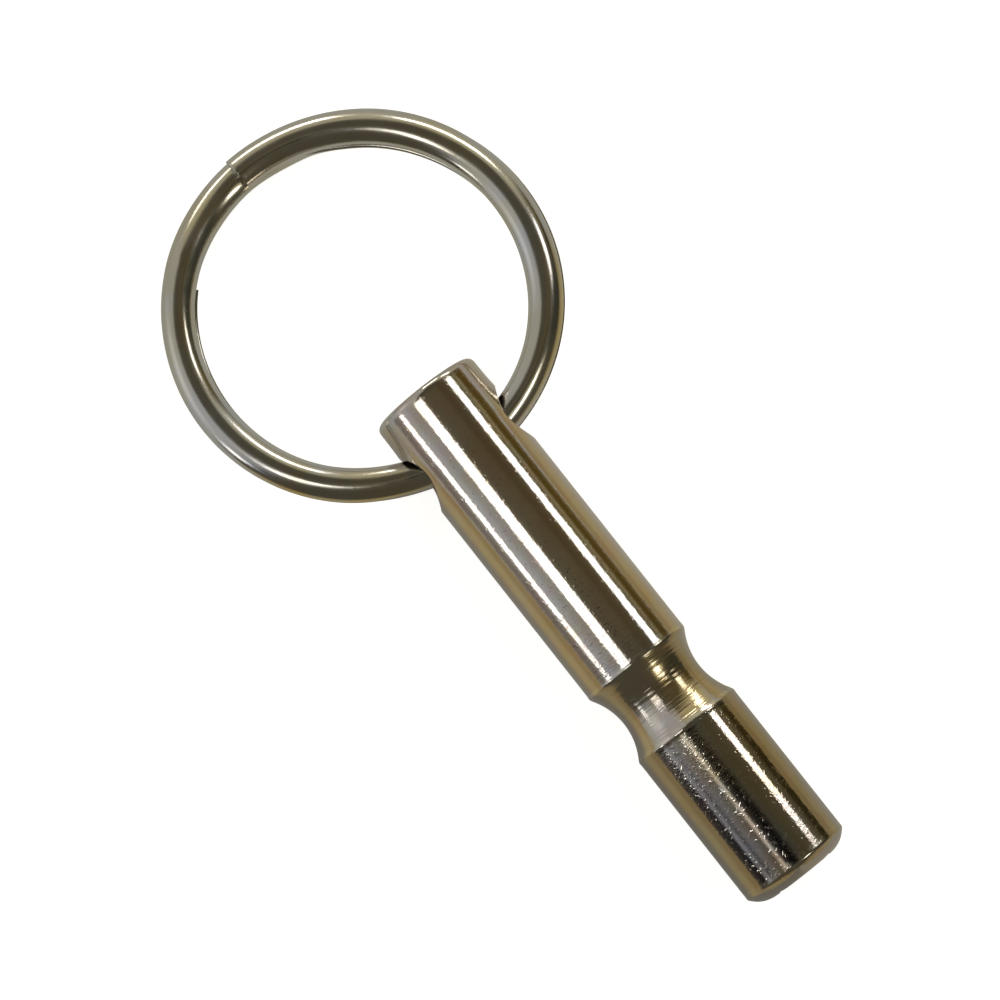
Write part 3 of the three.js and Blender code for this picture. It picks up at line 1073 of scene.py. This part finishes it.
def sweep(tree, place_in, stops):
    """A colour ramp over the angle from one side of the key, over the top, to the other, in degrees. A new
    ramp has its first two stops already."""
    node = put(tree, "ShaderNodeValToRGB", None, i0=place_in)
    elements = node.color_ramp.elements
    for k, (angle, red, green, blue) in enumerate(stops):
        spot = elements[k] if k < 2 else elements.new(1.0)
        spot.position = (angle + 90.0) / 180.0
        spot.color = (red, green, blue, 1.0)
    return node.outputs[0]


def along_way(tree, way, direction):
    """How far a way points along a direction: their dot product."""
    dot = put(tree, "ShaderNodeVectorMath", {"operation": "DOT_PRODUCT"}, i0=way, i1=direction)
    return dot.outputs["Value"]


def room_light():
    """What the metal mirrors besides the lamps: a dark warm room with paler walls on some sides. Close to
    the plane across the key it is set stop by stop, once for each side of the camera."""
    world = bpy.data.worlds.new("room")
    bpy.context.scene.world = world
    world.use_nodes = True
    tree = world.node_tree
    tree.nodes.clear()
    way = put(tree, "ShaderNodeTexCoord").outputs["Generated"]
    part = put(tree, "ShaderNodeSeparateXYZ", None, Vector=way)
    from_up = maths(tree, "DEGREES", maths(tree, "ARCCOSINE", part.outputs[2]))
    colour = ROOM_DARK
    for azimuth, half, low, high, soft, tint in ROOM_PATCHES:
        a = math.radians(azimuth)
        ahead = along_way(tree, way, (math.cos(a), math.sin(a), 0.0))
        beside = along_way(tree, way, (-math.sin(a), math.cos(a), 0.0))
        turn = maths(tree, "DEGREES", maths(tree, "ABSOLUTE", maths(tree, "ARCTAN2", beside, ahead)))
        sideways = ramp(tree, turn, half + soft, half - soft)
        above = ramp(tree, from_up, low - soft, low + soft)
        below = ramp(tree, from_up, high + soft, high - soft)
        mask = maths(tree, "MULTIPLY", sideways, maths(tree, "MULTIPLY", above, below))
        colour = blend_colour(tree, mask, colour, tint)
    over = maths(tree, "DEGREES", maths(tree, "ARCTAN2", part.outputs[1], part.outputs[2]))
    spot = maths(tree, "MULTIPLY_ADD", over, 1 / 180.0, 0.5, clamp=True)
    lengthways = part.outputs[0]
    far = ramp(tree, lengthways, SIDE_EDGE - SIDE_SOFTNESS, SIDE_EDGE + SIDE_SOFTNESS)
    across = blend_colour(tree, far, sweep(tree, spot, RING_SIDE), sweep(tree, spot, SOCKET_SIDE))
    from_ring, from_socket = ramp(tree, lengthways, *RING_FADE), ramp(tree, lengthways, *SOCKET_FADE)
    colour = blend_colour(tree, maths(tree, "MULTIPLY", from_ring, from_socket), colour, across)
    sky = put(tree, "ShaderNodeBackground", None, Color=colour, Strength=1.0)
    put(tree, "ShaderNodeOutputWorld", None, i0=sky.outputs[0])


def lamps():
    """Three lamps over the key, on its right, overhead and on its left, and three level ones for the ring
    and the bar's ends."""
    for name, direction, length, width, radiance in KEY_LAMPS:
        soft_box(name, direction, LENGTHWAYS, length, width, radiance)
    for name, azimuth, from_up, length in LEVEL_LAMPS:
        way = toward(azimuth, from_up)
        soft_box(name, way, way.cross(UP), length, LEVEL_WIDTH, LEVEL_RADIANCE)


# Camera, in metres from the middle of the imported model: where it aims, the way back to it, and which way
# is right and up in its view before a slight roll
CAMERA_DISTANCE = 0.333
CAMERA_LENS = 143.85
SENSOR_WIDTH = 36.0
CLIP_NEAR = 0.01
CLIP_FAR = 20.0
CAMERA_AIM = Vector((-0.001129, -0.0011965, 0.0))
CAMERA_BACK = Vector((0.08088, -0.06559, 1.0)).normalized()
VIEW_RIGHT = Vector((0.62376, 0.78161, 0.0))
VIEW_UP = Vector((-0.78161, 0.62376, 0.0))
CAMERA_ROLL = 0.0079


def look_down():
    """The camera above the key, a third of a metre away and a little off straight down."""
    data = bpy.data.cameras.new("camera")
    data.lens = CAMERA_LENS
    data.sensor_width = SENSOR_WIDTH
    data.clip_start = CLIP_NEAR
    data.clip_end = CLIP_FAR
    camera = bpy.data.objects.new("camera", data)
    bpy.context.scene.collection.objects.link(camera)
    bpy.context.scene.camera = camera
    centre = (cad_low + cad_high) / 2
    right = VIEW_RIGHT * math.cos(CAMERA_ROLL) + VIEW_UP * math.sin(CAMERA_ROLL)
    right = (right - CAMERA_BACK * right.dot(CAMERA_BACK)).normalized()
    up = CAMERA_BACK.cross(right)
    turn = Matrix((right, up, CAMERA_BACK)).transposed().to_4x4()
    place_at = centre + CAMERA_AIM + CAMERA_BACK * CAMERA_DISTANCE
    camera.matrix_world = Matrix.Translation(place_at) @ turn


pale_floor()
room_light()
lamps()
look_down()
bpy.context.scene.view_settings.view_transform = "Standard"
